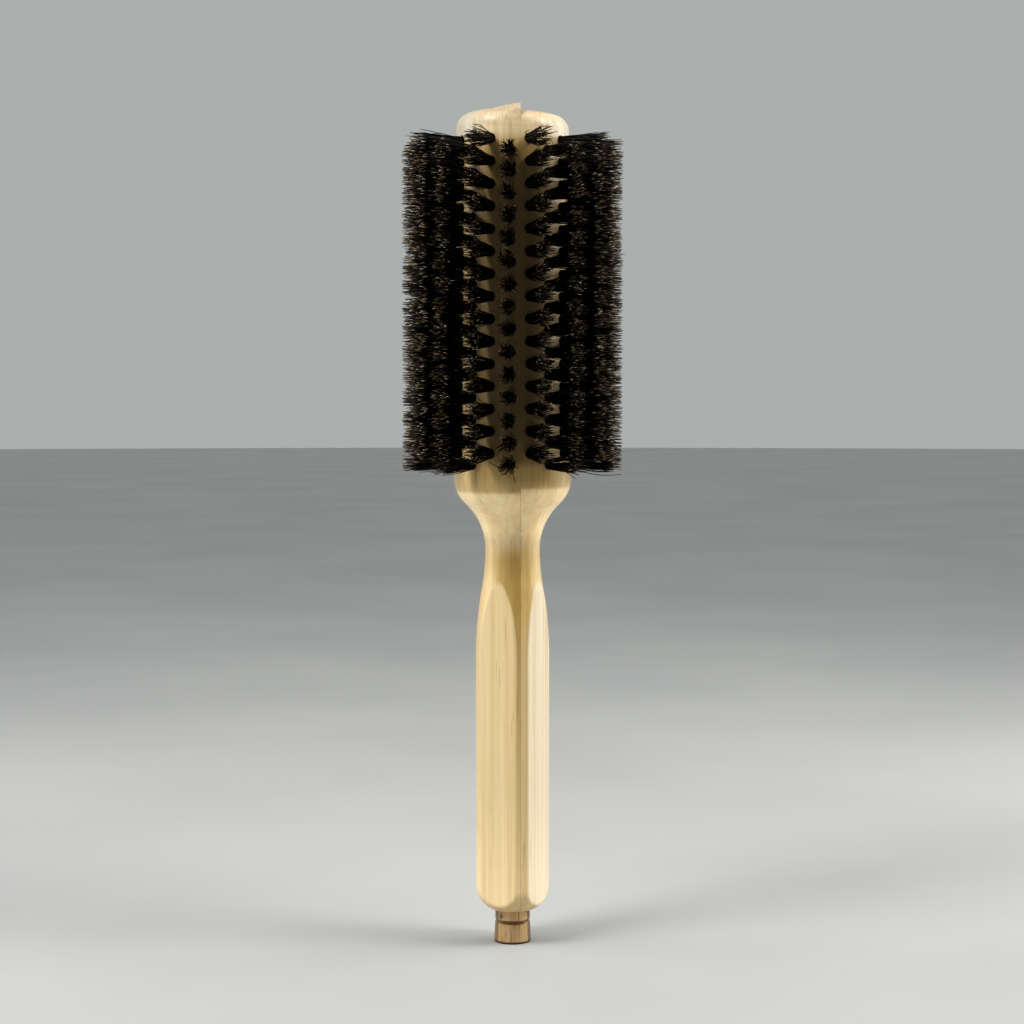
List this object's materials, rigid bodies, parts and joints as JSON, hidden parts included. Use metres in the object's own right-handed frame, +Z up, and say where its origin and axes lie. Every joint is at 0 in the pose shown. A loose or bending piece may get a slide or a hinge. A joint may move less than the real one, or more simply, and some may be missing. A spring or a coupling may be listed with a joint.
{
  "type": "round barrel hairbrush",
  "caption": "Round wooden barrel hairbrush with staggered rows of dark bristle tufts, a flat-sided grip and a pull-out sectioning pick whose knob is its foot.",
  "frame": {"origin": "centre of the foot's flat underside, on the brush's axis", "axes": "+Z up along the brush's axis from foot to crown; -Y is the front, seen in the picture; +X is to the right of it"},
  "size_m": [0.063, 0.0634, 0.2435],
  "materials": {
    "pale_wood": "fine-sanded, clear satin lacquer",
    "boar_bristle": "natural bristle, black with brown tips",
    "staple_steel": "plain",
    "varnished_wood": "brown stain under gloss varnish",
    "pin_steel": "polished",
    "socket_plastic": "natural nylon"
  },
  "bodies": {
    "pick": {"pick_knob": "varnished_wood", "pick_pin": "pin_steel"},
    "brush": {"body_left_lamination": "pale_wood", "body_right_lamination": "pale_wood", "row_01_tufts": "boar_bristle", "row_02_tufts": "boar_bristle", "row_03_tufts": "boar_bristle", "row_04_tufts": "boar_bristle", "row_05_tufts": "boar_bristle", "row_06_tufts": "boar_bristle", "row_07_tufts": "boar_bristle", "row_08_tufts": "boar_bristle", "row_09_tufts": "boar_bristle", "row_10_tufts": "boar_bristle", "row_11_tufts": "boar_bristle", "row_12_tufts": "boar_bristle", "row_13_tufts": "boar_bristle", "row_14_tufts": "boar_bristle", "row_15_tufts": "boar_bristle", "row_16_tufts": "boar_bristle", "row_17_tufts": "boar_bristle", "row_18_tufts": "boar_bristle", "row_01_staples": "staple_steel", "row_02_staples": "staple_steel", "row_03_staples": "staple_steel", "row_04_staples": "staple_steel", "row_05_staples": "staple_steel", "row_06_staples": "staple_steel", "row_07_staples": "staple_steel", "row_08_staples": "staple_steel", "row_09_staples": "staple_steel", "row_10_staples": "staple_steel", "row_11_staples": "staple_steel", "row_12_staples": "staple_steel", "row_13_staples": "staple_steel", "row_14_staples": "staple_steel", "row_15_staples": "staple_steel", "row_16_staples": "staple_steel", "row_17_staples": "staple_steel", "row_18_staples": "staple_steel", "pick_socket": "socket_plastic"}
  },
  "joints": [
    {"name": "pick_slide", "type": "slide", "parent": "pick", "child": "brush", "axis": [0, 0, 1], "range_m": [0, 0.0565]}
  ]
}
